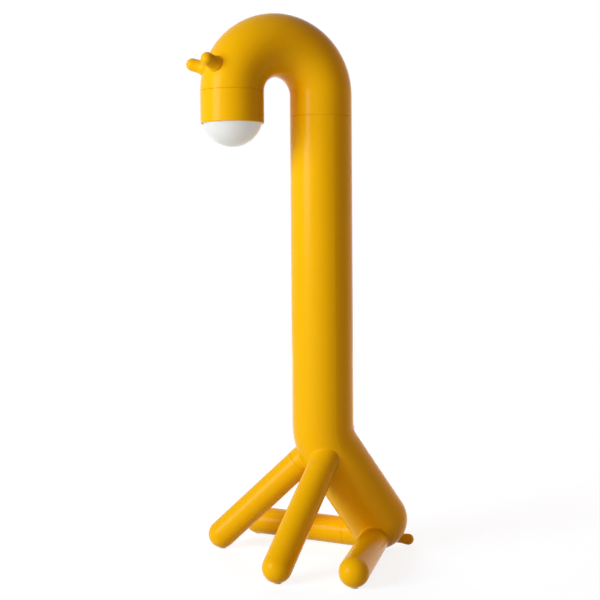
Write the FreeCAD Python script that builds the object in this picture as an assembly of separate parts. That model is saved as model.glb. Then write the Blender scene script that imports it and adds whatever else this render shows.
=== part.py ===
import FreeCAD, Part
import math
import os

# A sitting giraffe lamp of round tubes, in millimetres.
# The origin lies on the floor under the centre of the rump. +Z is up, +X is the giraffe's left,
# and the giraffe looks along -Y.

# Tubes and pose
tube_radius = 30.0
tube_wall = 3.0
leg_radius = 14.0
leg_wall = 2.5
pad_proud = 0.4
neck_forward = 60.0
body_lean = 35.0
kink_radius = 50.0
bend_radius = 46.0
bend_height = 451.5
neck_seam_drop = 20.7
head_seam_rise = 0.5
head_length = 30.2
front_foot_side = 71.5
front_foot_forward = 140.2
front_root_forward = 40.1
front_root_height = 129.4
front_stub_length = 3.0
hind_foot_side = 114.3
hind_foot_forward = 83.6
hind_stub_length = 3.0
root_blend = 1.5

# Seams and clearances
seam_gap = 0.3
edge_round = 0.25
leg_seam_gap = 0.15
leg_edge_round = 0.12
cell_round = 0.5
rim_round = 0.8
running_gap = 0.06
seat_gap = 0.1
thread_gap = 0.05

# Leg fastening: a spigot on the stub, a plug in the leg, and a stud in a brass insert
spigot_length = 4.0
spigot_gap = 0.2
stud_radius = 4.0
stud_grip = 10.0
stud_end_gap = 1.0
insert_radius = 5.5
insert_length = 12.0
insert_boss_radius = 9.0
insert_boss_reach = 6.0
plug_length = 12.0
plug_gap = 0.1

# Rubber pads
foot_pad_radius = 3.6
rump_pad_radius = 7.0
pad_thickness = 1.4

# Collars that close the tubes at both seams, on three lugs each
collar_gap = 0.2
collar_thickness = 8.0
collar_recess = 1.4
lug_radius = 4.5
lug_inset = 4.0
lug_length = 15.0
screw_radius = 1.5
screw_head_radius = 2.75
screw_head_height = 2.6
screw_bite = 8.0

# Neck swivel
stem_radius = 5.0
stem_bore = 3.5
stem_below = 10.0
stem_above = 9.0
nut_flats = 14.0
nut_height = 4.0
thrust_washer_inner = 14.8
thrust_washer_outer = 19.6
thrust_washer_thickness = 2.8
disc_spring_inner = 5.4
disc_spring_outer = 8.5
disc_spring_thickness = 0.8
disc_spring_height = 2.0
stop_pin_radius = 1.5
stop_pin_circle_radius = 12.0
stop_pin_root = 6.0
stop_groove_depth = 4.5
stop_groove_gap = 0.4
stop_travel = 165.0
stop_margin = 1.5
bayonet_angle = 11.0
bayonet_turn = 22.0
bayonet_reach = 2.6
bayonet_height = 3.0
bayonet_ledge = 2.5
bayonet_gap = 0.2

# Head bearing
head_collar_thickness = 5.0
head_seat_step = 0.5
head_lug_length = 8.0
head_collar_bite = 5.5
driver_gap = 0.5
head_web = 4.0
rim_wall = 1.2
journal_radius = 9.0
journal_margin = 1.2
friction_washer_thickness = 1.4
friction_washer_outer = 14.0
slide_washer_thickness = 1.2
slide_washer_outer = 12.5
circlip_thickness = 1.0
circlip_groove = 1.2
circlip_depth = 0.8
circlip_outer = 11.5
circlip_opening = 4.0
hub_inset = 2.0
hub_thickness = 6.0
fin_count = 24
fin_slot_width = 2.2
fin_slot_depth = 2.6

# Dimmer
dimmer_radius = 8.0
dimmer_height = 7.0
dimmer_shaft_inside = 3.0
dimmer_tag_side = 6.0
dimmer_tag_height = 2.0
dimmer_shaft_radius = 3.0
shaft_engagement = 7.0
bracket_clear = 1.6
bracket_thickness = 1.4
bracket_width = 10.0
bracket_span_length = 28.0
bracket_foot_length = 7.0
bracket_turn = 45.0
bracket_screw_radius = 1.2
bracket_screw_head = 2.2
bracket_screw_head_height = 1.6
bracket_screw_bite = 3.5

# Light source and dome
board_radius = 16.5
board_thickness = 1.6
led_radius = 9.0
led_thickness = 1.2
head_screw_inset = 4.5
web_bite = 3.0
reflector_flange = 2.2
reflector_wall = 1.8
reflector_throat = 10.5
reflector_depth = 9.6
reflector_lip = 1.2
dome_gap = 0.2
dome_wall = 2.0
dome_centre_in_shell = 6.8
dome_skirt = 9.6
snap_height = 5.0
snap_width = 1.4
snap_depth = 0.5
snap_gap = 0.2
gasket_thickness = 1.0

# Horns
horn_bend_angle = 18.8
horn_splay = 29.4
horn_length = 11.7
horn_tip_radius = 6.0
horn_base_radius = 8.0
horn_swell = 3.0
horn_flare = 1.0
horn_spigot_radius = 3.5
horn_screw_radius = 1.25
horn_screw_head = 4.5
horn_screw_head_height = 2.0
horn_screw_bite = 7.0
horn_screw_sink = 0.5

# Tail button and the push switch behind it; depths are measured along the tail from the centre of its tip
tail_tip_back = 35.3
tail_tip_radius = 5.65
tail_root_radius = 4.75
tail_swell_length = 10.0
tail_droop = 12.0
tail_travel = 3.0
tail_bore = 5.2
tail_length = 22.4
sleeve_wall = 2.6
switch_gap = 0.6
switch_length = 15.0
switch_wall = 1.5
switch_lip = 1.2
switch_floor = 3.0
plunger_radius = 2.2
plunger_grip = 7.0
plunger_head_radius = 3.4
plunger_head_height = 1.5
plunger_head_gap = 0.1
spring_wire = 0.5
spring_radius = 2.7
spring_turns = 5
terminal_radius = 0.6
terminal_length = 3.0
terminal_circle_radius = 3.2

# Charging socket in the back of the rump
socket_lift = 10.0
socket_sink = 0.7
socket_plate_radius = 6.5
socket_plate_thickness = 1.2
socket_body_radius = 5.4
socket_body_length = 12.0
port_width = 8.9
port_height = 3.2
port_depth = 7.0
tongue_width = 6.6
tongue_height = 0.7
tongue_length = 5.5

# Electronics tray that hangs from the neck collar
tray_width = 24.0
tray_thickness = 2.5
tray_offset = 9.0
tray_length = 126.0
tray_flange_thickness = 3.0
tray_flange_depth = 8.0
tray_screw_radius = 1.25
tray_screw_head = 2.4
tray_screw_head_height = 1.8
tray_screw_spacing = 16.0
tray_screw_bite = 6.0
window_width = 9.0
window_height = 16.0
window_drop = 8.0
cell_radius = 9.2
cell_length = 65.0
cell_drop = 40.0
cell_gap = 0.1
holder_base = 1.6
holder_end = 2.4
holder_margin = 0.4
control_width = 20.0
control_length = 62.0
control_thickness = 1.6
control_drop = 34.0
standoff_length = 2.0
standoff_radius = 2.5
standoff_inset = 4.0
standoff_spacing = 14.0
board_screw_radius = 1.0
board_screw_head = 1.9
board_screw_head_height = 1.2
board_screw_bite = 2.4
chip_height = 1.6
chip_size = 9.0
chip_pitch = 15.0
terminal_block_width = 14.0
terminal_block_height = 10.0
terminal_block_depth = 7.0

# Inner leads
lead_radius = 1.8
lead_bend = 6.0
lead_sweep = 25.0
lead_spacing = 7.0
lead_end_gap = 0.5
lead_clear_of_arch = 1.2
stem_lead_rise = 12.0
stem_lead_slant = 8.0
charge_lead_exit = 6.0
charge_lead_turn = 105.0
switch_lead_exit = 7.0
switch_lead_turn = 112.0


def vec(x, y, z):
    return FreeCAD.Vector(x, y, z)


def rod(radius, start, end):
    along = end - start
    return Part.makeCylinder(radius, along.Length, start, along)


def disc(radius, low, high, centre=FreeCAD.Vector(0, 0, 0)):
    return Part.makeCylinder(radius, high - low, vec(centre.x, centre.y, low))


def ring(outer, inner, low, high, centre=FreeCAD.Vector(0, 0, 0)):
    return disc(outer, low, high, centre).cut(disc(inner, low, high, centre))


def box(low, high):
    size = high - low
    return Part.makeBox(size.x, size.y, size.z, low)


def turned(profile):
    """A solid of revolution about Z from (radius, height) points."""
    points = [vec(radius, 0, height) for radius, height in profile]
    face = Part.Face(Part.makePolygon(points + [points[0]]))
    return face.revolve(vec(0, 0, 0), vec(0, 0, 1), 360)


def placed(shape, origin, direction):
    """Turns a shape made along +Z to point along a direction, at an origin."""
    result = shape.copy()
    turn = FreeCAD.Rotation(vec(0, 0, 1), direction)
    result.Placement = FreeCAD.Placement(origin, turn).multiply(shape.Placement)
    return result


def turned_about(shape, centre, angle):
    """A copy turned about the vertical line through a point."""
    result = shape.copy()
    result.rotate(vec(centre.x, centre.y, 0), vec(0, 0, 1), angle)
    return result


def polar(centre, radius, angle, height):
    turn = math.radians(angle)
    return vec(centre.x + radius * math.cos(turn), centre.y + radius * math.sin(turn), height)


def fused(shapes):
    return shapes[0].multiFuse(shapes[1:]).removeSplitter()


def hexagon(across, low, high, bore=0):
    """A hexagonal prism along Z with two of its flats facing along Y."""
    centre = vec(0, 0, 0)
    points = [polar(centre, across / math.sqrt(3), angle, low) for angle in range(0, 361, 60)]
    prism = Part.Face(Part.makePolygon(points)).extrude(vec(0, 0, high - low))
    if bore:
        prism = prism.cut(disc(bore, low, high))
    return prism


def screw(radius, head_radius, head_height, length):
    """A cap screw along +Z with the underside of its head at zero and a hexagon socket."""
    head = disc(head_radius, -head_height, 0)
    socket = hexagon(head_radius, -head_height, -head_height / 2)
    return fused([head, disc(radius, 0, length)]).cut(socket)


def sector(inner, outer, low, high, start, end, centre):
    """A piece of a ring between two angles."""
    profile = [vec(inner, 0, low), vec(outer, 0, low), vec(outer, 0, high), vec(inner, 0, high)]
    face = Part.Face(Part.makePolygon(profile + [profile[0]]))
    face.rotate(vec(0, 0, 0), vec(0, 0, 1), start)
    piece = face.revolve(vec(0, 0, 0), vec(0, 0, 1), end - start)
    piece.translate(centre)
    return piece


def round_size(face):
    """The radius of a round face, or nothing for a flat one."""
    surface = face.Surface
    if hasattr(surface, "MinorRadius"):
        return surface.MinorRadius
    return getattr(surface, "Radius", None)


def round_rims(shape, radius, rims):
    """Rounds the level round edges given by their heights and radii."""
    edges = []
    for edge in shape.Edges:
        span = edge.BoundBox
        for height, rim_radius in rims:
            level = abs(span.ZMin - height) < 0.01 and abs(span.ZMax - height) < 0.01
            if level and abs(span.XLength - 2 * rim_radius) < 0.1:
                edges.append(edge)
    return shape.makeFillet(radius, edges)


def blend_roots(solid, radius):
    """Fills the corner where each leg stub grows out of the body."""
    edges = []
    for edge in solid.Edges:
        if edge.Degenerated:
            continue
        sizes = [round_size(face) for face in solid.ancestorsOfType(edge, Part.Face)]
        if leg_radius in sizes and tube_radius in sizes:
            edges.append(edge)
    return solid.makeFillet(radius, edges)


def lead(points, bends):
    """A round lead along straight runs joined by tangent arcs, one bend radius for each corner."""
    edges = []
    start = points[0]
    for before, corner, after, bend in zip(points, points[1:], points[2:], bends):
        into = (corner - before).normalize()
        out = (after - corner).normalize()
        turn = into.getAngle(out)
        setback = bend * math.tan(turn / 2)
        arc_start = corner - into * setback
        arc_end = corner + out * setback
        inward = (out - into).normalize()
        arc_middle = corner + inward * (bend / math.cos(turn / 2) - bend)
        if (arc_start - start).Length > 0.01:
            edges.append(Part.LineSegment(start, arc_start).toShape())
        edges.append(Part.Arc(arc_start, arc_middle, arc_end).toShape())
        start = arc_end
    edges.append(Part.LineSegment(start, points[-1]).toShape())
    path = Part.Wire(edges)
    section = Part.Wire(Part.makeCircle(lead_radius, points[0], (points[1] - points[0]).normalize()))
    tube = path.makePipeShell([section], True, False)
    expected = math.pi * lead_radius ** 2 * path.Length
    print("lead of %.0f mm, its volume is %.4f of the plain sweep" % (path.Length, tube.Volume / expected))
    return tube


def save(name, shape):
    shape.exportStep("parts/" + name + ".step")
    count = len(shape.Solids)
    print("%-24s %10.1f mm3, %d solids, valid %s" % (name, shape.Volume, count, shape.isValid()))


def save_group(name, shapes):
    save(name, Part.makeCompound(shapes))


os.makedirs("parts", exist_ok=True)

# Places that follow from the driving dimensions
rump = vec(0, 0, tube_radius + pad_proud)
neck = vec(0, -neck_forward, 0)
lean = math.radians(body_lean)
kink_height = rump.z + neck_forward / math.tan(lean) + kink_radius * math.tan(lean / 2)
kink_centre = vec(0, neck.y + kink_radius, kink_height)
bend_centre = vec(0, neck.y - bend_radius, bend_height)
head = vec(0, neck.y - 2 * bend_radius, 0)
leg_height = leg_radius + pad_proud
tube_bore = tube_radius - tube_wall
leg_bore = leg_radius - leg_wall
collar_radius = tube_bore - collar_gap
head_seat_bore = tube_bore + head_seat_step
lug_circle_radius = tube_bore - lug_inset
bayonet_inner = tube_bore - bayonet_reach
hub_radius = tube_bore - hub_inset
head_screw_circle_radius = hub_radius - head_screw_inset
dome_radius = tube_radius - rim_wall - dome_gap
reflector_outer = dome_radius - dome_wall - snap_gap
reflector_mouth = reflector_outer - reflector_wall
horn_reach = tube_radius + horn_length

neck_seam_height = bend_height - neck_seam_drop
head_seam_height = bend_height + head_seam_rise
neck_top = neck_seam_height - seam_gap / 2
neck_collar_top = neck_top - collar_recess
neck_collar_low = neck_collar_top - collar_thickness
bend_bottom = neck_seam_height + seam_gap / 2
bend_collar_low = neck_collar_top + thrust_washer_thickness + running_gap
bend_collar_top = bend_collar_low + collar_thickness

bend_end = head_seam_height + seam_gap / 2
head_top = head_seam_height - seam_gap / 2
rim_height = head_seam_height - head_length
web_low = head_top - head_web
hub_low = web_low - hub_thickness
head_collar_low = head_top + friction_washer_thickness + running_gap
head_collar_top = head_collar_low + head_collar_thickness
groove_low = head_collar_top + slide_washer_thickness + running_gap
hub_top = groove_low + circlip_groove + journal_margin

neck_lug_angles = (30, 150, 270)
head_lug_angles = (0, 180, 270)
head_screw_angles = (90, 225, 315)
leg_sides = (("left", 1), ("right", -1))
down = vec(0, 0, -1)
up = vec(0, 0, 1)
leg_pairs = ("front", "hind")


def lower_tube(radius, top):
    """The neck, the kink, the sloping body and the round rump as one solid of one radius."""
    straight = disc(radius, kink_height, top, neck)
    circle = Part.Face(Part.Wire(Part.makeCircle(radius, vec(0, neck.y, kink_height), vec(0, 0, 1))))
    kink = circle.revolve(kink_centre, vec(1, 0, 0), body_lean)
    kink_end = kink_centre - vec(0, math.cos(lean), math.sin(lean)) * kink_radius
    slope = rod(radius, rump, kink_end)
    ball = Part.makeSphere(radius, rump)
    return fused([straight, kink, slope, ball])


def upper_tube(radius, bottom, end):
    """The sleeve above the neck seam and the half-circle bend, cut level at the head seam."""
    sleeve = disc(radius, bottom, bend_height, neck)
    circle = Part.Face(Part.Wire(Part.makeCircle(radius, vec(0, neck.y, bend_height), vec(0, 0, 1))))
    arch = circle.revolve(bend_centre, vec(1, 0, 0), 180)
    reach = 2 * tube_radius
    level = box(vec(-reach, head.y - reach, bend_height - reach), vec(reach, bend_centre.y, end))
    return fused([sleeve, arch]).cut(level)


lower_form = lower_tube(tube_radius, neck_top)


def leg_axis(pair, side):
    """The middle of the round foot, the point on the mid-plane that the leg aims at, and its length.
    A stub of a named length stays outside the body, so the seam moves with the body."""
    if pair == "front":
        foot = vec(side * front_foot_side, -front_foot_forward, leg_height)
        aim = vec(0, -front_root_forward, front_root_height)
        stub_length = front_stub_length
    else:
        foot = vec(side * hind_foot_side, -hind_foot_forward, leg_height)
        aim = vec(0, 0, leg_height)
        stub_length = hind_stub_length
    inward = (aim - foot).normalize()
    covered = rod(leg_radius, foot, aim).common(lower_form)
    length = rod(2 * leg_radius, foot, foot - inward).distToShape(covered)[0] - stub_length
    return foot, aim, inward, length


legs = []
for pair in leg_pairs:
    for side_name, side in leg_sides:
        foot, aim, inward, length = leg_axis(pair, side)
        legs.append((pair + "_" + side_name, foot, aim, inward, length))

droop = math.radians(tail_droop)
tail_in = vec(0, -math.cos(droop), math.sin(droop))
tail_tip = vec(0, tail_tip_back, tail_tip_radius + pad_proud / 2)
switch_start = tail_length + tail_travel + switch_gap
switch_end = switch_start + switch_length
lift = math.radians(socket_lift)
socket_out = vec(0, math.cos(lift), math.sin(lift))
socket_plate_top = rump + socket_out * (tube_radius - socket_sink)
socket_plate_low = socket_plate_top - socket_out * socket_plate_thickness
socket_back = socket_plate_low - socket_out * socket_body_length


# The neck and body are one hollow moulding. It carries four leg stubs with spigots, three lugs for
# the neck collar, a sleeve for the tail button, and a seat for the charging socket.
def leg_stub(aim, inward, seam, pocket):
    end = seam + inward * (leg_seam_gap / 2)
    stub = round_rims(disc(leg_radius, 0, (aim - end).Length), leg_edge_round, [(0, leg_radius)])
    return placed(stub, end, inward).cut(pocket)


def neck_and_body():
    outer = round_rims(lower_form, edge_round, [(neck_top, tube_radius)])
    pocket = disc(rump_pad_radius + seat_gap, -pad_thickness, pad_thickness)
    outer = outer.cut(pocket)
    stubs = []
    spigots = []
    bosses = []
    holes = []
    for name, foot, aim, inward, length in legs:
        seam = foot + inward * length
        stubs.append(leg_stub(aim, inward, seam, pocket))
        spigot_face = seam + inward * (leg_seam_gap / 2 - spigot_length)
        insert_end = spigot_face + inward * insert_length
        spigots.append(rod(leg_bore - spigot_gap, spigot_face, seam + inward * insert_boss_reach))
        bosses.append(rod(insert_boss_radius, seam, insert_end + inward * insert_boss_reach))
        holes.append(rod(insert_radius + thread_gap, spigot_face, insert_end))
    outer = blend_roots(fused([outer] + stubs).Solids[0], root_blend)
    outer = fused([outer] + spigots)
    for angle in neck_lug_angles:
        lug_top = polar(neck, lug_circle_radius, angle, neck_collar_low)
        bosses.append(rod(lug_radius, lug_top - vec(0, 0, lug_length), lug_top))
        holes.append(rod(screw_radius + thread_gap, lug_top - vec(0, 0, screw_bite + 1), lug_top))
    sleeve_end = tail_tip + tail_in * switch_end
    bosses.append(rod(tail_bore + sleeve_wall, tail_tip, sleeve_end))
    holes.append(rod(tail_bore, tail_tip, sleeve_end))
    outside = rump + socket_out * (tube_radius + tube_wall)
    holes.append(rod(socket_plate_radius + seat_gap, socket_plate_low, outside))
    holes.append(rod(socket_body_radius + seat_gap, socket_back, socket_plate_low))
    cavity = lower_tube(tube_bore, neck_top + tube_wall).cut(bosses)
    return outer.cut([cavity] + holes)


save("neck_and_body", neck_and_body())


# Each leg is a hollow straight tube with a round foot, open at the seam where it takes the spigot
def leg_shell(foot, inward, length):
    end = length - leg_seam_gap / 2
    outer = fused([Part.makeSphere(leg_radius), disc(leg_radius, 0, end)])
    outer = round_rims(outer, leg_edge_round, [(end, leg_radius)])
    inner = fused([Part.makeSphere(leg_bore), disc(leg_bore, 0, end + leg_wall)])
    pad_pocket = disc(foot_pad_radius + seat_gap, 0, pad_thickness, foot)
    return placed(outer.cut(inner), foot, inward).cut(pad_pocket)


plugs = []
studs = []
inserts = []
pads = []
for name, foot, aim, inward, length in legs:
    save(name + "_leg", leg_shell(foot, inward, length))
    spigot_face = foot + inward * (length + leg_seam_gap / 2 - spigot_length)
    plug_end = spigot_face - inward * plug_length
    insert_end = spigot_face + inward * insert_length
    plug = rod(leg_bore - plug_gap, plug_end, spigot_face)
    plugs.append(plug.cut(rod(stud_radius + thread_gap, plug_end, spigot_face)))
    studs.append(rod(stud_radius, spigot_face - inward * stud_grip, insert_end - inward * stud_end_gap))
    insert = rod(insert_radius, spigot_face, insert_end)
    inserts.append(insert.cut(rod(stud_radius + thread_gap, spigot_face, insert_end)))
    pads.append(disc(foot_pad_radius, 0, pad_thickness, foot))
save_group("leg_plugs", plugs)
save_group("leg_studs", studs)
save_group("leg_inserts", inserts)
save_group("foot_pads", pads)
save("rump_pad", disc(rump_pad_radius, 0, pad_thickness))


# The neck collar closes the neck. It holds the hollow swivel stem, the stop pin and the tray below.
collar_screw_hole = screw_radius + seat_gap
collar_head_hole = screw_head_radius + seat_gap
collar_screw_seat = neck_collar_top - screw_head_height - seat_gap
tray_screw_back = tray_offset + (tray_flange_depth + tray_thickness) / 2
tray_screw_places = []
for side in (-1, 1):
    tray_screw_places.append(neck + vec(side * tray_screw_spacing / 2, tray_screw_back, 0))
collar = disc(collar_radius, neck_collar_low, neck_collar_top, neck)
collar_holes = [disc(stem_radius + thread_gap, neck_collar_low, neck_collar_top, neck)]
collar_screws = []
for angle in neck_lug_angles:
    place = polar(neck, lug_circle_radius, angle, 0)
    collar_holes.append(disc(collar_screw_hole, neck_collar_low, neck_collar_top, place))
    collar_holes.append(disc(collar_head_hole, collar_screw_seat, neck_collar_top, place))
    seat = vec(place.x, place.y, collar_screw_seat)
    length = collar_screw_seat - neck_collar_low + screw_bite
    fixing = screw(screw_radius, screw_head_radius, screw_head_height, length)
    collar_screws.append(placed(fixing, seat, down))
stop_pin_place = neck + vec(stop_pin_circle_radius, 0, 0)
stop_pin_low = neck_collar_top - stop_pin_root
stop_pin_top = bend_collar_low + stop_groove_depth - stop_groove_gap
collar_holes.append(disc(stop_pin_radius, stop_pin_low, neck_collar_top, stop_pin_place))
tray_screw_top = neck_collar_low + tray_screw_bite
for place in tray_screw_places:
    collar_holes.append(disc(tray_screw_radius + thread_gap, neck_collar_low, tray_screw_top, place))
save("neck_collar", collar.cut(collar_holes))
save_group("neck_collar_screws", collar_screws)
save("stop_pin", disc(stop_pin_radius, stop_pin_low, stop_pin_top, stop_pin_place))

# The swivel stem stands in the neck collar. The bend collar turns on it, under a disc spring and a nut.
stem_low = neck_collar_low - stem_below
stem_top = bend_collar_top + stem_above
upper_nut_low = bend_collar_top + disc_spring_height + running_gap
nut_bore = stem_radius + thread_gap
lower_nut = hexagon(nut_flats, neck_collar_low - nut_height, neck_collar_low, nut_bore)
upper_nut = hexagon(nut_flats, upper_nut_low, upper_nut_low + nut_height, nut_bore)
lower_nut.translate(neck)
upper_nut.translate(neck)
save("swivel_stem", ring(stem_radius, stem_bore, stem_low, stem_top, neck))
save_group("stem_nuts", [lower_nut, upper_nut])
washer_top = neck_collar_top + thrust_washer_thickness
save("thrust_washer", ring(thrust_washer_outer, thrust_washer_inner, neck_collar_top, washer_top, neck))
disc_spring = turned([
    (disc_spring_outer, 0),
    (disc_spring_outer, disc_spring_thickness),
    (disc_spring_inner, disc_spring_height),
    (disc_spring_inner, disc_spring_height - disc_spring_thickness),
])
disc_spring.translate(vec(neck.x, neck.y, bend_collar_top))
save("disc_spring", disc_spring)

# The bend collar turns with the bend. Three slots in its rim take the nibs of the bend, which lock
# with a short turn, and a groove underneath stops the swivel at the pin.
stop_pin_half = math.degrees(math.asin(stop_pin_radius / stop_pin_circle_radius))
stop_half = stop_travel + stop_margin + stop_pin_half
stop_inner = stop_pin_circle_radius - stop_pin_radius - stop_groove_gap
stop_outer = stop_pin_circle_radius + stop_pin_radius + stop_groove_gap
nib_low = bend_collar_low + bayonet_ledge
nib_high = nib_low + bayonet_height
slot_half = bayonet_angle / 2 + bayonet_gap * 4
slot_low = nib_low - bayonet_gap
slot_inner = bayonet_inner - bayonet_gap
stop_floor = bend_collar_low + stop_groove_depth
bend_collar = disc(collar_radius, bend_collar_low, bend_collar_top, neck)
bend_holes = [disc(stem_radius + running_gap, bend_collar_low, bend_collar_top, neck)]
bend_holes.append(sector(stop_inner, stop_outer, bend_collar_low, stop_floor, -stop_half, stop_half, neck))
nibs = []
slot_high = nib_high + bayonet_gap
nib_root = tube_bore + tube_wall / 2
nib_half = bayonet_angle / 2
for angle in neck_lug_angles:
    start = angle - bayonet_turn - slot_half
    entry_end = start + 2 * slot_half
    turn_end = angle + slot_half
    bend_holes.append(sector(slot_inner, tube_bore, slot_low, bend_collar_top, start, entry_end, neck))
    bend_holes.append(sector(slot_inner, tube_bore, slot_low, slot_high, start, turn_end, neck))
    nib_start = angle - nib_half
    nibs.append(sector(bayonet_inner, nib_root, nib_low, nib_high, nib_start, angle + nib_half, neck))
save("bend_collar", bend_collar.cut(bend_holes))

# The bend is one hollow moulding, with nibs at the neck, lugs at the head and two holes for the horns.
horn_turn = math.radians(horn_bend_angle)
horn_out = vec(0, -math.cos(horn_turn), math.sin(horn_turn))
horn_root = bend_centre + horn_out * bend_radius
splay = math.radians(horn_splay)
horn_up = (horn_out * math.cos(splay) + vec(math.sin(splay), 0, 0)).normalize()
horn_left = (horn_root, horn_up)
horn_right = (horn_root, vec(-horn_up.x, horn_up.y, horn_up.z))


def neck_bend():
    outer = upper_tube(tube_radius, bend_bottom, bend_end)
    outer = round_rims(outer, edge_round, [(bend_bottom, tube_radius), (bend_end, tube_radius)])
    lugs = []
    holes = []
    for angle in head_lug_angles:
        lug_low = polar(head, lug_circle_radius, angle, head_collar_top)
        lugs.append(rod(lug_radius, lug_low, lug_low + up * head_lug_length))
        holes.append(rod(screw_radius + thread_gap, lug_low, lug_low + up * (head_collar_bite + 1)))
    for root, direction in (horn_left, horn_right):
        inside = root + direction * (tube_bore - tube_wall)
        outside = root + direction * (tube_radius + tube_wall)
        holes.append(rod(horn_spigot_radius + seat_gap, inside, outside))
    holes.append(disc(head_seat_bore, bend_end, head_collar_top, head))
    cavity = upper_tube(tube_bore, bend_bottom - tube_wall, bend_end - tube_wall).cut(lugs + nibs)
    return outer.cut([cavity] + holes)


save("neck_bend", neck_bend())


# Each horn is a solid knob that swells towards its root. A screw from inside the bend holds it.
def knob(tip_radius, root_radius, root, swell, flare, length):
    """A turned knob along +Z: a round tip about the origin, a swell near the root, then a shank."""
    slant = tip_radius / math.sqrt(2)
    tip = Part.Arc(vec(0, 0, -tip_radius), vec(slant, 0, -slant), vec(tip_radius, 0, 0)).toShape()
    widest = vec(tip_radius, 0, 0)
    neck_in = vec(root_radius, 0, root)
    straight_end = vec(tip_radius, 0, root - swell)
    flare_start = vec(root_radius - flare, 0, root - swell)
    curve = Part.BezierCurve()
    curve.setPoles([widest, straight_end, flare_start, neck_in])
    end = vec(0, 0, length)
    shank = Part.makePolygon([neck_in, end + vec(root_radius, 0, 0), end, vec(0, 0, -tip_radius)])
    profile = Part.Wire([tip, curve.toShape()] + shank.Edges)
    return Part.Face(profile).revolve(vec(0, 0, 0), vec(0, 0, 1), 360)


def horn_parts(root, direction):
    tip = root + direction * horn_reach
    proud = horn_reach - tube_radius
    length = proud + tube_wall
    shape = knob(horn_tip_radius, horn_base_radius, proud, horn_swell, horn_flare, length)
    body = placed(shape, tip, direction * -1)
    body = body.cut(upper_tube(tube_radius + seat_gap / 2, bend_bottom, bend_end - tube_wall))
    spigot_low = root + direction * (tube_bore + seat_gap)
    spigot = rod(horn_spigot_radius, spigot_low, root + direction * (tube_radius + seam_gap))
    hole_low = root + direction * tube_bore
    hole_high = root + direction * (tube_bore + horn_screw_bite + stud_end_gap)
    horn = fused([body, spigot]).cut(rod(horn_screw_radius + thread_gap, hole_low, hole_high))
    seat = root + direction * (tube_bore - horn_screw_sink)
    fixing = screw(horn_screw_radius, horn_screw_head, horn_screw_head_height, horn_screw_bite)
    return horn, placed(fixing, seat, direction)


left_horn, left_horn_screw = horn_parts(*horn_left)
right_horn, right_horn_screw = horn_parts(*horn_right)
save("left_horn", left_horn)
save("right_horn", right_horn)
save_group("horn_screws", [left_horn_screw, right_horn_screw])

# The head collar closes the bend. The journal of the heat sink turns in it.
head_screw_seat = head_collar_low + screw_head_height + seat_gap
head_collar = disc(head_seat_bore - collar_gap, head_collar_low, head_collar_top, head)
head_holes = [disc(journal_radius + running_gap, head_collar_low, head_collar_top, head)]
head_collar_screws = []
for angle in head_lug_angles:
    place = polar(head, lug_circle_radius, angle, 0)
    head_holes.append(disc(collar_screw_hole, head_collar_low, head_collar_top, place))
    head_holes.append(disc(collar_head_hole, head_collar_low, head_screw_seat, place))
    seat = vec(place.x, place.y, head_screw_seat)
    length = head_collar_top - head_screw_seat + head_collar_bite
    fixing = screw(screw_radius, screw_head_radius, screw_head_height, length)
    head_collar_screws.append(placed(fixing, seat, up))
bracket_screw_places = []
for angle in (bracket_turn, bracket_turn + 180):
    place = polar(head, (bracket_span_length + bracket_foot_length) / 2, angle, head_collar_top)
    bracket_screw_places.append(place)
    head_holes.append(rod(bracket_screw_radius + thread_gap, place + down * bracket_screw_bite, place))
save("head_collar", head_collar.cut(head_holes))
save_group("head_collar_screws", head_collar_screws)

# The dimmer stands on a bridge above the journal, and its shaft goes down into the journal.
bracket_low = hub_top + bracket_clear
bracket_top = bracket_low + bracket_thickness
dimmer_top = bracket_top + dimmer_height
half = bracket_width / 2
leg_in = bracket_span_length / 2 - bracket_thickness
leg_out = bracket_span_length / 2
foot_out = leg_out + bracket_foot_length
foot_top = head_collar_top + bracket_thickness
bracket_pieces = [box(vec(-leg_out, -half, bracket_low), vec(leg_out, half, bracket_top))]
for side in (-1, 1):
    leg_x = sorted((side * leg_in, side * leg_out))
    foot_x = sorted((side * leg_in, side * foot_out))
    bracket_pieces.append(box(vec(leg_x[0], -half, head_collar_top), vec(leg_x[1], half, bracket_top)))
    bracket_pieces.append(box(vec(foot_x[0], -half, head_collar_top), vec(foot_x[1], half, foot_top)))
bracket = fused(bracket_pieces)
bracket.translate(head)
bracket = turned_about(bracket, head, bracket_turn)
bracket_holes = [disc(dimmer_shaft_radius + seam_gap, bracket_low, bracket_top, head)]
bracket_screws = []
for place in bracket_screw_places:
    seat = place + up * bracket_thickness
    bracket_holes.append(rod(bracket_screw_radius + seat_gap, place, seat))
    length = bracket_thickness + bracket_screw_bite
    fixing = screw(bracket_screw_radius, bracket_screw_head, bracket_screw_head_height, length)
    bracket_screws.append(placed(fixing, seat, down))
save("dimmer_bracket", bracket.cut(bracket_holes))
save_group("bracket_screws", bracket_screws)
shaft_top = bracket_top + dimmer_shaft_inside
dimmer = disc(dimmer_radius, bracket_top, dimmer_top, head)
dimmer = dimmer.cut(disc(dimmer_shaft_radius + running_gap, bracket_top, shaft_top + seat_gap, head))
tag_top = dimmer_top + dimmer_tag_height
tag_half = dimmer_tag_side / 2
tag = box(vec(-tag_half, head.y - tag_half, dimmer_top), vec(tag_half, head.y + tag_half, tag_top))
save("dimmer_body", fused([dimmer, tag]))
shaft_low = hub_top - shaft_engagement
save("dimmer_shaft", disc(dimmer_shaft_radius, shaft_low, shaft_top, head))

# The head shell is a short tube with a web across its top, thinned at the rim for the dome.
dome_height = rim_height + dome_centre_in_shell
skirt_top = dome_height + dome_skirt
shoulder = skirt_top + gasket_thickness
rim_bore = tube_radius - rim_wall
driver_hole = screw_head_radius + driver_gap


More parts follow.
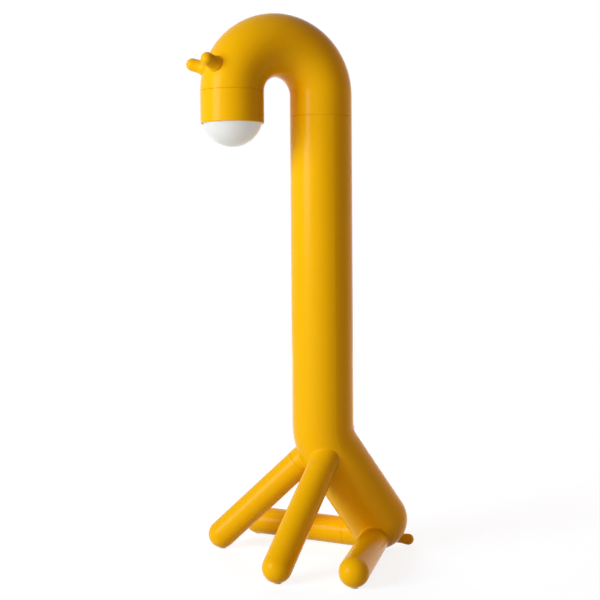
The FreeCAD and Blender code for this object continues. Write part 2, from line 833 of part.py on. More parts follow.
def head_shell():
    outer = disc(tube_radius, rim_height, head_top)
    outer = round_rims(outer, edge_round, [(head_top, tube_radius)])
    outer = round_rims(outer, rim_round, [(rim_height, tube_radius)])
    inner = [disc(rim_bore, rim_height, shoulder), disc(tube_bore, shoulder, web_low)]
    inner.append(disc(journal_radius + seat_gap, web_low, head_top))
    for angle in head_lug_angles:
        inner.append(disc(driver_hole, web_low, head_top, polar(vec(0, 0, 0), lug_circle_radius, angle, 0)))
    for angle in head_screw_angles:
        place = polar(vec(0, 0, 0), head_screw_circle_radius, angle, 0)
        inner.append(disc(screw_radius + thread_gap, web_low, web_low + web_bite, place))
    shell = outer.cut(inner)
    shell.translate(head)
    return shell


save("head_shell", head_shell())


# The heat sink carries the light board below the web. Its journal goes up through the head collar
# to a circlip, and the dimmer shaft sits in its end.
def heat_sink_hub():
    journal = disc(journal_radius, web_low, hub_top)
    hub = fused([disc(hub_radius, hub_low, web_low), journal])
    groove_floor = journal_radius - circlip_depth
    holes = [ring(journal_radius + 1, groove_floor, groove_low, groove_low + circlip_groove)]
    holes.append(disc(dimmer_shaft_radius + thread_gap, shaft_low, hub_top))
    half_slot = fin_slot_width / 2
    slot_root = vec(hub_radius - fin_slot_depth, -half_slot, hub_low)
    slot = box(slot_root, vec(hub_radius + 1, half_slot, web_low))
    for index in range(fin_count):
        holes.append(turned_about(slot, vec(0, 0, 0), index * 360 / fin_count))
    for angle in head_lug_angles:
        holes.append(disc(driver_hole, hub_low, web_low, polar(vec(0, 0, 0), lug_circle_radius, angle, 0)))
    for angle in head_screw_angles:
        place = polar(vec(0, 0, 0), head_screw_circle_radius, angle, 0)
        holes.append(disc(screw_radius + seat_gap, hub_low, web_low, place))
    hub = hub.cut(holes)
    hub.translate(head)
    return hub


save("heat_sink_hub", heat_sink_hub())
washer_bore = journal_radius + seat_gap
friction_top = head_top + friction_washer_thickness
save("friction_washer", ring(friction_washer_outer, washer_bore, head_top, friction_top, head))
save("slide_washer", ring(slide_washer_outer, washer_bore, head_collar_top + running_gap, groove_low, head))
circlip_bore = journal_radius - circlip_depth + thread_gap
circlip = ring(circlip_outer, circlip_bore, groove_low, groove_low + circlip_thickness, head)
gap_half = circlip_opening / 2
gap_end = head + vec(circlip_outer, gap_half, groove_low + circlip_groove)
save("circlip", circlip.cut(box(head + vec(0, -gap_half, groove_low), gap_end)))

# The light source: a board with one round chip under the heat sink, inside a reflector ring that
# three screws hold against the web.
board_low = hub_low - board_thickness
chip_low = board_low - led_thickness
save("led_board", disc(board_radius, board_low, hub_low, head))
save("led_chip", disc(led_radius, chip_low, board_low, head))
mouth = hub_low - reflector_depth
bead_height = skirt_top - snap_height
skirt_bore = dome_radius - dome_wall
reflector = turned([
    (board_radius + seat_gap, hub_low),
    (reflector_outer, hub_low),
    (reflector_outer, bead_height + snap_width / 2),
    (reflector_outer + snap_depth, bead_height),
    (reflector_outer, bead_height - snap_width / 2),
    (reflector_outer, mouth),
    (reflector_mouth, mouth),
    (reflector_throat, chip_low - seat_gap),
    (reflector_throat, board_low - seat_gap),
    (board_radius + seat_gap, board_low - seat_gap),
])
reflector_holes = []
head_screws = []
for angle in head_screw_angles:
    place = polar(vec(0, 0, 0), head_screw_circle_radius, angle, 0)
    seat_height = hub_low - reflector_flange
    reflector_holes.append(disc(screw_radius + seat_gap, seat_height, hub_low, place))
    reflector_holes.append(disc(collar_head_hole, mouth, seat_height, place))
    fixing = screw(screw_radius, screw_head_radius, screw_head_height, web_low - seat_height + web_bite)
    head_screws.append(placed(fixing, head + place + up * seat_height, up))
reflector = reflector.cut(reflector_holes)
reflector.translate(head)
save("reflector_ring", reflector)
save_group("head_screws", head_screws)


# The diffuser is a half ball with a short skirt. A groove in the skirt snaps over the reflector's bead.
def diffuser_dome():
    lower_half = box(vec(-tube_radius, -tube_radius, -tube_radius), vec(tube_radius, tube_radius, 0))
    outer = fused([Part.makeSphere(dome_radius).common(lower_half), disc(dome_radius, 0, dome_skirt)])
    inner = fused([Part.makeSphere(skirt_bore).common(lower_half), disc(skirt_bore, 0, dome_skirt)])
    groove_middle = dome_skirt - snap_height
    groove_half = snap_width / 2 + snap_gap
    groove_bottom = reflector_outer + snap_depth + snap_gap
    groove = turned([
        (skirt_bore - 1, groove_middle - groove_half),
        (skirt_bore, groove_middle - groove_half),
        (groove_bottom, groove_middle),
        (skirt_bore, groove_middle + groove_half),
        (skirt_bore - 1, groove_middle + groove_half),
    ])
    dome = outer.cut([inner, groove])
    dome.translate(vec(head.x, head.y, dome_height))
    return dome


save("diffuser_dome", diffuser_dome())
save("dome_gasket", ring(dome_radius, skirt_bore + seat_gap, skirt_top, shoulder, head))

# The tail is the lamp's push button. Its shank slides in the sleeve and presses the switch behind it.
tail_swell = tail_swell_length / 2
tail = knob(tail_tip_radius, tail_root_radius, tail_swell_length, tail_swell, 0, tail_length)
tail = tail.cut(disc(plunger_radius, tail_length - plunger_grip, tail_length))
save("tail_button", placed(tail, tail_tip, tail_in))
plunger_head_low = switch_start + switch_lip + plunger_head_gap
plunger_head_high = plunger_head_low + plunger_head_height
plunger = fused([
    disc(plunger_radius, tail_length - plunger_grip, plunger_head_low),
    disc(plunger_head_radius, plunger_head_low, plunger_head_high),
])
save("switch_plunger", placed(plunger, tail_tip, tail_in))
floor_low = switch_end - switch_floor
switch_radius = tail_bore - seat_gap
housing = disc(switch_radius, switch_start, switch_end)
pins = []
housing_holes = [
    disc(switch_radius - switch_wall, switch_start + switch_lip, floor_low),
    disc(plunger_radius + seat_gap, switch_start, switch_start + switch_lip),
]
pin_root = switch_end - switch_floor / 2
pin_end = switch_end + terminal_length
for side in (-1, 1):
    place = vec(side * terminal_circle_radius, 0, 0)
    housing_holes.append(disc(terminal_radius, pin_root, switch_end, place))
    pins.append(placed(disc(terminal_radius, pin_root, pin_end, place), tail_tip, tail_in))
save("tail_switch_housing", placed(housing.cut(housing_holes), tail_tip, tail_in))
save_group("switch_terminals", pins)


def coil_spring(low, high):
    """A compression spring of round wire along +Z, one unbroken tube."""
    rise = high - low - spring_wire
    pitch = rise / spring_turns
    helix = Part.makeHelix(pitch, rise, spring_radius)
    start = vec(spring_radius, 0, 0)
    heading = vec(0, spring_radius * 2 * math.pi, pitch)
    section = Part.Wire(Part.makeCircle(spring_wire / 2, start, heading))
    coil = helix.makePipeShell([section], True, False)
    print("spring gap between turns %.2f mm" % (pitch - spring_wire))
    coil.translate(vec(0, 0, low + spring_wire / 2))
    return coil


spring = coil_spring(plunger_head_high + seat_gap, floor_low - seat_gap)
save("tail_spring", placed(spring, tail_tip, tail_in))

# The charging socket: a round plate flush with the back of the rump, and the port body behind it.
plate = disc(socket_plate_radius, 0, socket_plate_thickness)
port = fused([plate, disc(socket_body_radius, -socket_body_length, 0)])
side_shift = (port_width - port_height) / 2
port_low = socket_plate_thickness - port_depth
port_half = port_height / 2
slot = fused([
    disc(port_half, port_low, socket_plate_thickness, vec(-side_shift, 0, 0)),
    disc(port_half, port_low, socket_plate_thickness, vec(side_shift, 0, 0)),
    box(vec(-side_shift, -port_half, port_low), vec(side_shift, port_half, socket_plate_thickness)),
])
tongue_half = vec(tongue_width / 2, tongue_height / 2, 0)
tongue_root = vec(0, 0, port_low)
tongue = box(tongue_root - tongue_half, tongue_root + tongue_half + vec(0, 0, tongue_length))
save("charging_socket", placed(port.cut(slot.cut(tongue)), socket_plate_low, socket_out))

# The tray hangs from the neck collar. It carries the battery in front and the control board behind.
tray_front = neck.y + tray_offset
tray_back = tray_front + tray_thickness
tray_half = tray_width / 2
tray_low = neck_collar_low - tray_length
flange_low = neck_collar_low - tray_flange_thickness
flange_back = tray_front + tray_flange_depth
window_top = neck_collar_low - window_drop
board_face = tray_back + standoff_length
board_back = board_face + control_thickness
control_top = neck_collar_low - control_drop
control_bottom = control_top - control_length
tray_pieces = [
    box(vec(-tray_half, tray_front, tray_low), vec(tray_half, tray_back, neck_collar_low)),
    box(vec(-tray_half, tray_front, flange_low), vec(tray_half, flange_back, neck_collar_low)),
]
window_half = window_width / 2
window_low = vec(-window_half, tray_front, window_top - window_height)
window = box(window_low, vec(window_half, tray_back, window_top))
tray_holes = [window]
board_holes = []
board_screws = []
behind = vec(0, 1, 0)
board_screw_length = control_thickness + board_screw_bite
for x in (-standoff_spacing / 2, standoff_spacing / 2):
    for z in (control_bottom + standoff_inset, control_top - standoff_inset):
        place = vec(x, tray_back, z)
        tray_pieces.append(rod(standoff_radius, place, vec(x, board_face, z)))
        seat = vec(x, board_back, z)
        bite = seat - behind * board_screw_length
        tray_holes.append(rod(board_screw_radius + thread_gap, bite, seat))
        board_holes.append(rod(board_screw_radius + seat_gap, vec(x, board_face, z), seat))
        fixing = screw(board_screw_radius, board_screw_head, board_screw_head_height, board_screw_length)
        board_screws.append(placed(fixing, seat, behind * -1))
tray_screws = []
tray_screw_length = tray_flange_thickness + tray_screw_bite
for place in tray_screw_places:
    tray_holes.append(disc(tray_screw_radius + seat_gap, flange_low, neck_collar_low, place))
    fixing = screw(tray_screw_radius, tray_screw_head, tray_screw_head_height, tray_screw_length)
    tray_screws.append(placed(fixing, vec(place.x, place.y, flange_low), up))
save("electronics_tray", fused(tray_pieces).cut(tray_holes))
save_group("tray_screws", tray_screws)

cell_top = neck_collar_low - cell_drop
cell_bottom = cell_top - cell_length
holder_face = tray_front - holder_base
cell_axis = holder_face - cell_radius - cell_gap
holder_top = cell_top + holder_margin + holder_end
holder_bottom = cell_bottom - holder_margin - holder_end
holder_front = cell_axis - cell_radius / 2
upper_end = cell_top + holder_margin
lower_end = cell_bottom - holder_margin
holder = fused([
    box(vec(-cell_radius, holder_face, holder_bottom), vec(cell_radius, tray_front, holder_top)),
    box(vec(-cell_radius, holder_front, upper_end), vec(cell_radius, tray_front, holder_top)),
    box(vec(-cell_radius, holder_front, holder_bottom), vec(cell_radius, tray_front, lower_end)),
])
save("battery_holder", holder)
cell = disc(cell_radius, cell_bottom, cell_top, vec(0, cell_axis, 0))
save("battery_cell", round_rims(cell, cell_round, [(cell_bottom, cell_radius), (cell_top, cell_radius)]))

control_half = control_width / 2
control = box(vec(-control_half, board_face, control_bottom), vec(control_half, board_back, control_top))
chips = []
for index in (-1, 0, 1):
    middle = (control_top + control_bottom) / 2 + (index + 0.4) * chip_pitch
    low = vec(-chip_size / 2, board_back, middle - chip_size / 2)
    chips.append(box(low, low + vec(chip_size, chip_height, chip_size)))
save("control_board", fused([control] + chips).cut(board_holes))
save_group("board_screws", board_screws)
terminal_half = terminal_block_width / 2
terminal_low = control_bottom + standoff_inset + standoff_radius
terminal_block = box(
    vec(-terminal_half, board_back, terminal_low),
    vec(terminal_half, board_back + terminal_block_depth, terminal_low + terminal_block_height),
)
save("terminal_block", terminal_block)

# The inner leads: from the socket and the switch up to the terminal block, from the board up into the
# stem, and round the bend to the dimmer.
lead_height = terminal_low
lead_y = board_back + terminal_block_depth / 2
left_x = lead_spacing / 2
charge_start = socket_back - socket_out * lead_end_gap
charge_lead = lead(
    [
        charge_start,
        charge_start - socket_out * charge_lead_exit,
        vec(-left_x, lead_y, charge_lead_turn),
        vec(-left_x, lead_y, lead_height - lead_end_gap),
    ],
    (lead_bend, lead_sweep),
)
save("charge_lead", charge_lead)
switch_start_point = tail_tip + tail_in * (switch_end + lead_end_gap)
switch_lead = lead(
    [
        switch_start_point,
        switch_start_point + tail_in * switch_lead_exit,
        vec(left_x, lead_y, switch_lead_turn),
        vec(left_x, lead_y, lead_height - lead_end_gap),
    ],
    (lead_bend, lead_sweep),
)
save("switch_lead", switch_lead)
stem_lead_y = board_face + control_thickness / 2
stem_lead = lead(
    [
        vec(0, stem_lead_y, control_top + lead_end_gap),
        vec(0, stem_lead_y, control_top + stem_lead_rise),
        vec(0, neck.y, control_top + stem_lead_rise + stem_lead_slant),
        vec(0, neck.y, stem_top + lead_end_gap),
    ],
    (lead_bend, lead_bend),
)
save("stem_lead", stem_lead)
arch_top = bend_height + bend_radius + tube_bore - lead_clear_of_arch - lead_radius
bend_lead = lead(
    [
        vec(0, neck.y, stem_top + 2 * lead_end_gap),
        vec(0, neck.y, arch_top),
        vec(0, head.y, arch_top),
        vec(0, head.y, tag_top + lead_end_gap / 2),
    ],
    (bend_radius, bend_radius),
)
save("bend_lead", bend_lead)
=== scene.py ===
import bpy
import bmesh
import math
from mathutils import Euler, Matrix, Vector


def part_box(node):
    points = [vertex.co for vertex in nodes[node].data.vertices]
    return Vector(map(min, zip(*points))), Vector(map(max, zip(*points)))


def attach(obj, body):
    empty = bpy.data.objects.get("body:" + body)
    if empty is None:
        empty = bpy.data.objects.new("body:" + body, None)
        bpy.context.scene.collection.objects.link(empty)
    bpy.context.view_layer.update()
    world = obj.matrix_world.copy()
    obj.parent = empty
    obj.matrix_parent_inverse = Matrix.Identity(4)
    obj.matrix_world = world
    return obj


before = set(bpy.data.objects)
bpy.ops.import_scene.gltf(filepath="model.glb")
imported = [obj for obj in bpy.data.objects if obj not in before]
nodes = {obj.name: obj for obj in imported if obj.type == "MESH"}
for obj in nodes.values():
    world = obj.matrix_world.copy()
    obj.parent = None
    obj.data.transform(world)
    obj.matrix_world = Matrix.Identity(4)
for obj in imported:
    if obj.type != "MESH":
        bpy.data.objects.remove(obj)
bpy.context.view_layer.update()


# Neck and body
# One hollow moulding of satin yellow plastic: the neck, the sloping body, the round rump and four
# leg stubs. The tool's surface leaves a very fine peel and slightly uneven gloss on it.
class Signal:
    """A socket in a material. Arithmetic on it adds Math nodes."""

    def __init__(self, finish, socket):
        self.finish = finish
        self.socket = socket

    def maths(self, operation, first, second):
        return self.finish.node("Math", {"operation": operation}, {0: first, 1: second})

    def __add__(self, other):
        return self.maths("ADD", self, other)

    def __radd__(self, other):
        return self.maths("ADD", other, self)

    def __sub__(self, other):
        return self.maths("SUBTRACT", self, other)

    def __rsub__(self, other):
        return self.maths("SUBTRACT", other, self)

    def __mul__(self, other):
        return self.maths("MULTIPLY", self, other)

    def __rmul__(self, other):
        return self.maths("MULTIPLY", other, self)


class Finish:
    """A material for one finish. Its parts are added with one call for each shader node."""

    def __init__(self, name, shelf=bpy.data.materials):
        self.material = shelf.new(name)
        self.material.use_nodes = True
        self.tree = self.material.node_tree
        self.tree.nodes.clear()

    def node(self, kind, settings=None, inputs=None, output=0):
        made = self.tree.nodes.new("ShaderNode" + kind)
        for name, value in (settings or {}).items():
            setattr(made, name, value)
        for name, value in (inputs or {}).items():
            if isinstance(value, Signal):
                self.tree.links.new(value.socket, made.inputs[name])
            else:
                made.inputs[name].default_value = value
        return Signal(self, made.outputs[output]) if made.outputs else None

    def place(self, scale=(1, 1, 1), centre=(0, 0, 0)):
        """Object coordinates about a centre, scaled."""
        here = self.node("TexCoord", output="Object")
        moved = self.node("VectorMath", {"operation": "SUBTRACT"}, {0: here, 1: centre})
        return self.node("Mapping", inputs={"Vector": moved, "Scale": scale})

    def noise(self, scale, detail=3.0, roughness=0.5, place=None):
        place = place or self.place()
        inputs = {"Vector": place, "Scale": scale, "Detail": detail, "Roughness": roughness}
        return self.node("TexNoise", inputs=inputs)

    def ramp(self, value, low, high):
        """Runs from 0 at a low value to 1 at a high one, with soft ends."""
        settings = {"interpolation_type": "SMOOTHSTEP"}
        return self.node("MapRange", settings, {"Value": value, "From Min": low, "From Max": high})

    def mix(self, factor, first, second):
        factor_in, first_in, second_in, colour_out = 0, 6, 7, 2
        colours = {factor_in: factor, first_in: first, second_in: second}
        return self.node("Mix", {"data_type": "RGBA"}, colours, output=colour_out)

    def bump(self, height, distance):
        return self.node("Bump", inputs={"Height": height, "Distance": distance})

    def surface(self, **sockets):
        inputs = {name.replace("_", " "): value for name, value in sockets.items()}
        body = self.node("BsdfPrincipled", inputs=inputs)
        self.node("OutputMaterial", inputs={"Surface": body})
        return self


def dress(finish, *names):
    """Gives CAD nodes their material."""
    for name in names:
        node = nodes[name]
        if not node.material_slots:
            node.data.materials.append(finish.material)
        for slot in node.material_slots:
            slot.material = finish.material


def satin_yellow():
    finish = Finish("satin_yellow")
    tone = finish.noise(11.0, 2.0)
    peel = finish.noise(1500.0, 2.0)
    gloss = finish.noise(45.0, 4.0)
    colour = finish.mix(tone, (0.885, 0.485, 0.001, 1), (0.915, 0.510, 0.001, 1))
    return finish.surface(
        Base_Color=colour,
        Roughness=0.20 + gloss * 0.06,
        Normal=finish.bump(peel, 0.00001),
        Specular_IOR_Level=0.065,
    )


yellow = satin_yellow()
dress(yellow, "neck_and_body")

# Legs
# Four hollow straight tubes with round feet, moulded in the same yellow plastic. Each meets its
# stub at a fine seam.
for pair in ("front", "hind"):
    for side in ("left", "right"):
        dress(yellow, pair + "_" + side + "_leg")


# Leg fittings
# Each leg has a moulded nylon plug glued into it and a threaded steel stud. The stud is drawn into
# a turned brass insert that is pressed into the stub.
def grained_plastic(name, colour, shade, roughness, grain, depth):
    """A moulded plastic with a fine spark-eroded grain."""
    finish = Finish(name)
    tone = finish.noise(60.0, 3.0)
    texture = finish.noise(grain, 3.0, 0.65)
    return finish.surface(
        Base_Color=finish.mix(tone, (*shade, 1), (*colour, 1)),
        Roughness=roughness + texture * 0.12,
        Normal=finish.bump(texture, depth),
    )


def turned_metal(name, colour, shade, roughness, lines):
    """A machined metal: fine lines round the piece, faint stains and uneven polish."""
    finish = Finish(name)
    close_along_axis = (1, 1, 12)
    stain = finish.ramp(finish.noise(140.0, 4.0), 0.42, 0.62)
    line = finish.noise(lines, 2.0, place=finish.place(close_along_axis))
    return finish.surface(
        Base_Color=finish.mix(stain, (*colour, 1), (*shade, 1)),
        Metallic=1.0,
        Roughness=roughness + line * 0.18,
        Normal=finish.bump(line, 0.00001),
    )


nylon = grained_plastic(
    "black_nylon", colour=(0.030, 0.030, 0.032), shade=(0.018, 0.018, 0.020),
    roughness=0.42, grain=2600.0, depth=0.00002,
)
steel = turned_metal(
    "zinc_plated_steel", colour=(0.62, 0.63, 0.64), shade=(0.47, 0.47, 0.46),
    roughness=0.20, lines=260.0,
)
brass = turned_metal(
    "brass_insert", colour=(0.72, 0.52, 0.21), shade=(0.58, 0.39, 0.14),
    roughness=0.18, lines=300.0,
)
dress(nylon, "leg_plugs")
dress(steel, "leg_studs")
dress(brass, "leg_inserts")


# Pads
# Round pads of clear silicone in pockets under the four feet and the rump. They have a fine
# stippled face that has picked up a little dust.
def clear_silicone():
    finish = Finish("clear_silicone")
    stipple = finish.node("TexVoronoi", inputs={"Vector": finish.place(), "Scale": 1400.0})
    dust = finish.ramp(finish.noise(320.0, 5.0, 0.6), 0.45, 0.75)
    return finish.surface(
        Base_Color=finish.mix(dust, (0.84, 0.82, 0.76, 1), (0.70, 0.67, 0.60, 1)),
        Roughness=0.30 + dust * 0.20,
        Normal=finish.bump(stipple, 0.00004),
        Subsurface_Weight=0.5,
        Subsurface_Radius=(1.0, 0.95, 0.85),
        Subsurface_Scale=0.002,
    )


silicone = clear_silicone()
dress(silicone, "foot_pads", "rump_pad")

# Charging socket
# A round black plate let into the back of the rump, with a rounded port and its tongue. A bright
# pressed steel shell lines the port, and gilt contacts are laid into both faces of the tongue.
socket_tilt = math.radians(10)
socket_across = Vector((1, 0, 0))
socket_out = Vector((0, math.cos(socket_tilt), math.sin(socket_tilt)))
socket_turn = Matrix((socket_across, socket_out.cross(socket_across), socket_out)).transposed()
socket_place = socket_turn.to_4x4()
rump_middle = Vector((0, 0, 0.0304))
socket_reach = 0.0281
socket_place.translation = rump_middle + socket_out * socket_reach


def piece(name, body, finish, shape, place):
    """Puts a finished shape in its place on a body, with its material."""
    bmesh.ops.transform(shape, matrix=place, verts=shape.verts)
    bmesh.ops.recalc_face_normals(shape, faces=shape.faces)
    mesh = bpy.data.meshes.new(name)
    shape.to_mesh(mesh)
    shape.free()
    mesh.materials.append(finish.material)
    made = bpy.data.objects.new(name, mesh)
    bpy.context.collection.objects.link(made)
    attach(made, body)
    return made


def port_lining():
    """A thin shell with rounded ends, as deep as the port."""
    end_offset, end_radius, end_steps = 0.00285, 0.00157, 16
    wall, depth, inner_end = 0.00024, 0.00680, -0.0057
    shape = bmesh.new()
    outline = []
    for side in (1, -1):
        for step in range(end_steps + 1):
            turn = math.radians(90 - step * 180 / end_steps)
            across = side * (end_offset + end_radius * math.cos(turn))
            outline.append((across, side * end_radius * math.sin(turn), inner_end))
    base = shape.faces.new([shape.verts.new(point) for point in outline])
    base.normal_update()
    bmesh.ops.inset_region(
        shape, faces=[base], thickness=wall, use_boundary=True, use_even_offset=True,
    )
    shape.faces.remove(base)
    rim = bmesh.ops.extrude_face_region(shape, geom=shape.faces[:])["geom"]
    rim_points = [part for part in rim if isinstance(part, bmesh.types.BMVert)]
    bmesh.ops.translate(shape, verts=rim_points, vec=(0, 0, depth))
    return shape


def port_contacts():
    """Twelve strips on each face of the tongue."""
    count, pitch, width, thickness, length = 12, 0.0005, 0.00026, 0.00004, 0.0042
    off_middle, inward = 0.000355, -0.0022
    size = Matrix.Diagonal((width, thickness, length, 1))
    shape = bmesh.new()
    for side in (1, -1):
        for number in range(count):
            across = pitch * (number - (count - 1) / 2)
            middle = Vector((across, side * off_middle, inward))
            bmesh.ops.create_cube(shape, size=1.0, matrix=Matrix.Translation(middle) @ size)
    return shape


dress(nylon, "charging_socket")
piece("port_shell", "base", steel, port_lining(), socket_place)
piece("port_contacts", "base", brass, port_contacts(), socket_place)

# Tail and its switch
# The tail is a yellow push button on a nylon plunger. Behind it sits a small switch with a steel
# return spring and two brass terminals.
white_nylon = grained_plastic(
    "white_nylon", colour=(0.78, 0.77, 0.72), shade=(0.70, 0.68, 0.62),
    roughness=0.38, grain=1800.0, depth=0.00001,
)
dress(yellow, "tail_button")
dress(white_nylon, "switch_plunger")
dress(nylon, "tail_switch_housing")
dress(brass, "switch_terminals")
dress(steel, "tail_spring")


# Battery and control board
# A tray of black plastic hangs in the neck. It holds one round cell in a printed sleeve and a board
# in green lacquer, with its chips coated too, that carries a white terminal block.
def sleeved_cell():
    finish = Finish("cell_sleeve")
    cell_middle = (0, 0, 0.3487)
    band_start, band_end = 0.0300, 0.0303
    from_middle = finish.place(centre=cell_middle)
    height = finish.node("SeparateXYZ", inputs={0: from_middle}, output="Z")
    band = finish.ramp(height, band_start, band_end)
    crease = finish.noise(90.0, 4.0, place=finish.place((1, 1, 6)))
    colour = finish.mix(band, (0.030, 0.160, 0.420, 1), (0.700, 0.700, 0.680, 1))
    return finish.surface(
        Base_Color=colour,
        Roughness=0.22 + crease * 0.12,
        Normal=finish.bump(crease, 0.00008),
    )


def circuit_board():
    finish = Finish("circuit_board")
    place = finish.place((1, 0, 1))
    to_edge = {"feature": "DISTANCE_TO_EDGE"}
    cells = finish.node("TexVoronoi", to_edge, {"Vector": place, "Scale": 260.0})
    track = finish.ramp(cells, 0.10, 0.14)
    dots = finish.node("TexVoronoi", inputs={"Vector": place, "Scale": 420.0})
    pads = 1 - finish.ramp(dots, 0.20, 0.26)
    green = finish.mix(track, (0.030, 0.190, 0.075, 1), (0.010, 0.095, 0.040, 1))
    return finish.surface(
        Base_Color=finish.mix(pads, green, (0.66, 0.64, 0.58, 1)),
        Metallic=pads * 0.9,
        Roughness=0.25 + track * 0.10,
        Normal=finish.bump(track + pads, 0.00004),
    )


dress(nylon, "electronics_tray", "battery_holder")
dress(sleeved_cell(), "battery_cell")
dress(circuit_board(), "control_board")
dress(white_nylon, "terminal_block")
dress(steel, "tray_screws", "board_screws")


# Leads
# Round two-core leads in a soft dark sheath, which run from the socket and the tail switch up to
# the board, through the swivel stem, and round the bend to the dimmer.
def lead_sheath():
    finish = Finish("lead_sheath")
    haze = finish.noise(240.0, 4.0)
    return finish.surface(
        Base_Color=finish.mix(haze, (0.035, 0.035, 0.037, 1), (0.055, 0.054, 0.053, 1)),
        Roughness=0.45 + haze * 0.15,
        Normal=finish.bump(haze, 0.00003),
    )


sheath = lead_sheath()
dress(sheath, "charge_lead", "switch_lead", "stem_lead", "bend_lead")

# Neck swivel
# Two black collars face each other across a nylon washer. A hollow steel stem with two nuts, a disc
# spring and a stop pin join them.
dress(nylon, "neck_collar", "bend_collar")
dress(white_nylon, "thrust_washer", "friction_washer", "slide_washer")
dress(steel, "neck_collar_screws", "swivel_stem", "stem_nuts", "disc_spring", "stop_pin")


# Seam rings
# A thin yellow ring lies in each of the two round seams, so that no light or dust gets through. The
# lower one is glued to the neck's end and the upper one to the bend's.
def seam_ring(axis_node, tube_below):
    """A flat ring in the gap above a tube's end, with 0.05 mm for glue and 0.05 mm for play."""
    inner, outer, half_thickness, half_gap, ring_steps = 0.0283, 0.02975, 0.0001, 0.00015, 160
    low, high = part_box(axis_node)
    gap_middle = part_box(tube_below)[1][2] + half_gap
    ring_middle = ((low[0] + high[0]) / 2, (low[1] + high[1]) / 2, gap_middle)
    section = (
        (inner, -half_thickness), (outer, -half_thickness),
        (outer, half_thickness), (inner, half_thickness),
    )
    shape = bmesh.new()
    corners = [shape.verts.new((radius, 0, height)) for radius, height in section]
    for number, corner in enumerate(corners):
        shape.edges.new((corners[number - 1], corner))
    bmesh.ops.spin(
        shape, geom=shape.verts[:] + shape.edges[:], axis=(0, 0, 1), cent=(0, 0, 0),
        angle=math.tau, steps=ring_steps, use_merge=True,
    )
    return shape, Matrix.Translation(ring_middle)


piece("neck_seam_ring", "base", yellow, *seam_ring("swivel_stem", "neck_and_body"))
piece("head_seam_ring", "bend", yellow, *seam_ring("head_shell", "head_shell"))

# Bend and horns
# The half-round bend is moulded in the same yellow. Each of its two horns has a spigot in the wall
# and is held by a steel screw from inside.
dress(yellow, "neck_bend", "left_horn", "right_horn")
dress(steel, "horn_screws")

# Head collar and dimmer
# A black nylon collar closes the bend and is screwed to its lugs. A folded steel bridge on it
# carries the dimmer, which the head turns by its shaft.
dress(nylon, "head_collar", "dimmer_body")
dress(steel, "head_collar_screws", "dimmer_bracket", "bracket_screws", "dimmer_shaft", "circlip")

# Head
# A short yellow tube with a thin rim turns under the collar. The heat sink inside it is turned from
# aluminium.
aluminium = turned_metal(
    "turned_aluminium", colour=(0.78, 0.79, 0.80), shade=(0.70, 0.70, 0.71),
    roughness=0.22, lines=420.0,
)
dress(yellow, "head_shell")
dress(aluminium, "heat_sink_hub")
dress(steel, "head_screws")


# Light source
# A white board with one round chip under yellow phosphor. It is screwed to the heat sink inside a
# moulded reflector of glossy white plastic.
def phosphor():
    finish = Finish("phosphor")
    grains = finish.node("TexVoronoi", inputs={"Vector": finish.place(), "Scale": 2200.0})
    colour = finish.mix(grains, (0.90, 0.66, 0.08, 1), (0.96, 0.78, 0.20, 1))
    return finish.surface(
        Base_Color=colour,
        Roughness=0.40 + grains * 0.2,
        Normal=finish.bump(grains, 0.00004),
    )


gloss_white = grained_plastic(
    "gloss_white", colour=(0.86, 0.86, 0.84), shade=(0.80, 0.80, 0.78),
    roughness=0.12, grain=900.0, depth=0.00001,
)
dress(gloss_white, "led_board", "reflector_ring")
dress(phosphor(), "led_chip")


# Diffuser
# A half ball of opal plastic, smooth and satin, and slightly cloudy inside. It glows faintly all
# over: a painted glow that stands in for light and brightens its shaded side.
def opal():
    finish = Finish("opal_plastic")
    cloud = finish.noise(70.0, 3.0)
    frost = finish.noise(2400.0, 2.0)
    return finish.surface(
        Base_Color=finish.mix(cloud, (0.62, 0.64, 0.65, 1), (0.65, 0.67, 0.68, 1)),
        Roughness=0.30 + frost * 0.06,
        Normal=finish.bump(frost, 0.00001),
        Subsurface_Weight=0.8,
        Subsurface_Radius=(1.0, 0.98, 0.92),
        Subsurface_Scale=0.012,
        # painted glow: an even emission that lifts the shaded side of the dome
        Emission_Color=finish.mix(cloud, (0.90, 1.0, 1.0, 1), (0.94, 1.0, 0.98, 1)),
        Emission_Strength=0.20,
        Specular_IOR_Level=0.12,
    )


dress(opal(), "diffuser_dome")
dress(silicone, "dome_gasket")

# Studio
# A pale floor and room, a soft key lamp before the giraffe and four wider lamps round it. Three of
# these and the room's light are clearly warm, so the floor is shown in a cool tone to look white.
# The camera stands where the photograph was taken.
def seen_rays(finish):
    """Is 1 for the rays that show the surroundings, and 0 for those that only carry light."""
    camera = finish.node("LightPath", output="Is Camera Ray")
    through = finish.node("LightPath", output="Is Transmission Ray")
    mirrored = finish.node("LightPath", output="Is Glossy Ray")
    return camera + through + mirrored


def white_paper():
    """A pale floor, lifted to white where it is seen, that thins out into the white room."""
    finish = Finish("white_paper")
    lift = 0.84
    fade_start, fade_end = 0.35, 1.1
    tone = finish.mix(finish.noise(3.0), (0.62, 0.66, 0.66, 1), (0.64, 0.68, 0.68, 1))
    camera_ray = finish.node("LightPath", output="Is Camera Ray")
    shown = finish.mix(camera_ray, tone, (0.25, 0.305, 0.36, 1))
    paper = finish.node("BsdfDiffuse", inputs={"Color": shown})
    strength = seen_rays(finish) * lift
    glow = finish.node("Emission", inputs={"Color": (1, 1, 1, 1), "Strength": strength})
    both = finish.node("AddShader", inputs={0: paper, 1: glow})
    length = {"operation": "LENGTH"}
    away = finish.node("VectorMath", length, {0: finish.place()}, output="Value")
    edge = finish.ramp(away, fade_start, fade_end) * camera_ray
    clear = finish.node("BsdfTransparent")
    whole = finish.node("MixShader", inputs={0: edge, 1: both, 2: clear})
    finish.node("OutputMaterial", inputs={"Surface": whole})
    return finish


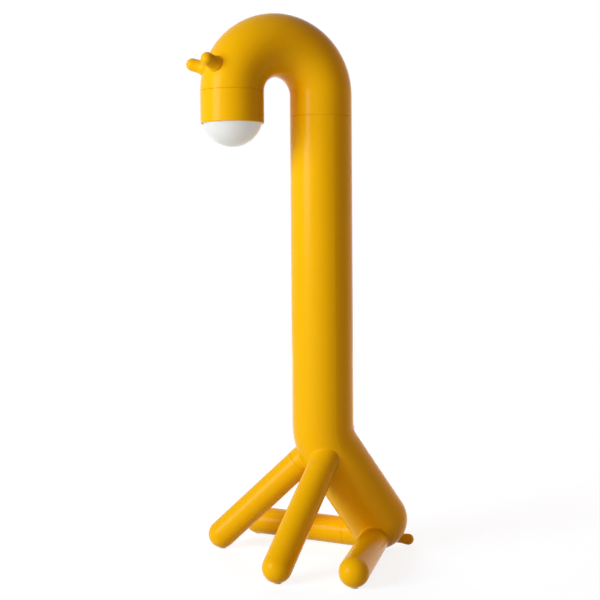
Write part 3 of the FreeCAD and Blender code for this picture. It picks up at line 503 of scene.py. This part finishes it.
floor_size = 12.0
floor_mesh = bpy.data.meshes.new("floor")
floor_shape = bmesh.new()
bmesh.ops.create_grid(floor_shape, x_segments=1, y_segments=1, size=floor_size)
floor_shape.to_mesh(floor_mesh)
floor_shape.free()
floor = bpy.data.objects.new("floor", floor_mesh)
bpy.context.collection.objects.link(floor)
floor_mesh.materials.append(white_paper().material)


def softbox(name, direction, size, power, colour, mirrored=False):
    """A square lamp that looks at the middle of the giraffe from 2.2 m away."""
    middle, distance = Vector((0, -0.08, 0.24)), 2.2
    lamp = bpy.data.lights.new(name, "AREA")
    lamp.size = size
    lamp.energy = power
    lamp.color = colour
    place = middle + Vector(direction).normalized() * distance
    aim = (place - middle).to_track_quat("Z", "Y").to_matrix().to_4x4()
    holder = bpy.data.objects.new(name, lamp)
    holder.matrix_world = Matrix.Translation(place) @ aim
    holder.visible_glossy = mirrored
    bpy.context.collection.objects.link(holder)


softbox("key_lamp", (0.168, -0.951, 0.259), 0.95, 36.5, (0.90, 1.0, 0.98), mirrored=True)
softbox("front_lamp", (0.637, -0.759, 0.259), 2.0, 16.0, (1.0, 0.62, 0.54))
softbox("side_lamp", (-0.259, 0.965, 0.035), 1.0, 25.0, (1.0, 0.64, 0.58))
softbox("back_lamp", (-0.951, 0.255, 0.174), 1.4, 34.0, (1.0, 0.72, 0.66))
softbox("far_lamp", (-0.870, 0.463, 0.174), 1.4, 8.0, (0.95, 1.0, 1.0))

room = Finish("pale_room", bpy.data.worlds)
room_light, room_white = (0.115, 0.070, 0.062, 1), (1, 1, 1, 1)
room_colour = room.mix(seen_rays(room), room_light, room_white)
room_surface = room.node("Background", inputs={"Color": room_colour})
room.node("OutputWorld", inputs={"Surface": room_surface})
bpy.context.scene.world = room.material

lens = bpy.data.cameras.new("camera")
lens.lens = 72.59
lens.sensor_width = 36.0
lens.clip_start = 0.01
camera = bpy.data.objects.new("camera", lens)
camera_place = (1.07357, -0.56103, 0.30934)
camera_tilt, camera_roll, camera_heading = 87.283, 0.437, 66.008
camera_angles = [math.radians(angle) for angle in (camera_tilt, camera_roll, camera_heading)]
camera_turn = Euler(camera_angles).to_matrix()
camera.matrix_world = Matrix.Translation(camera_place) @ camera_turn.to_4x4()
bpy.context.collection.objects.link(camera)
bpy.context.scene.camera = camera
bpy.context.scene.view_settings.view_transform = "Standard"

bpy.context.view_layer.update()
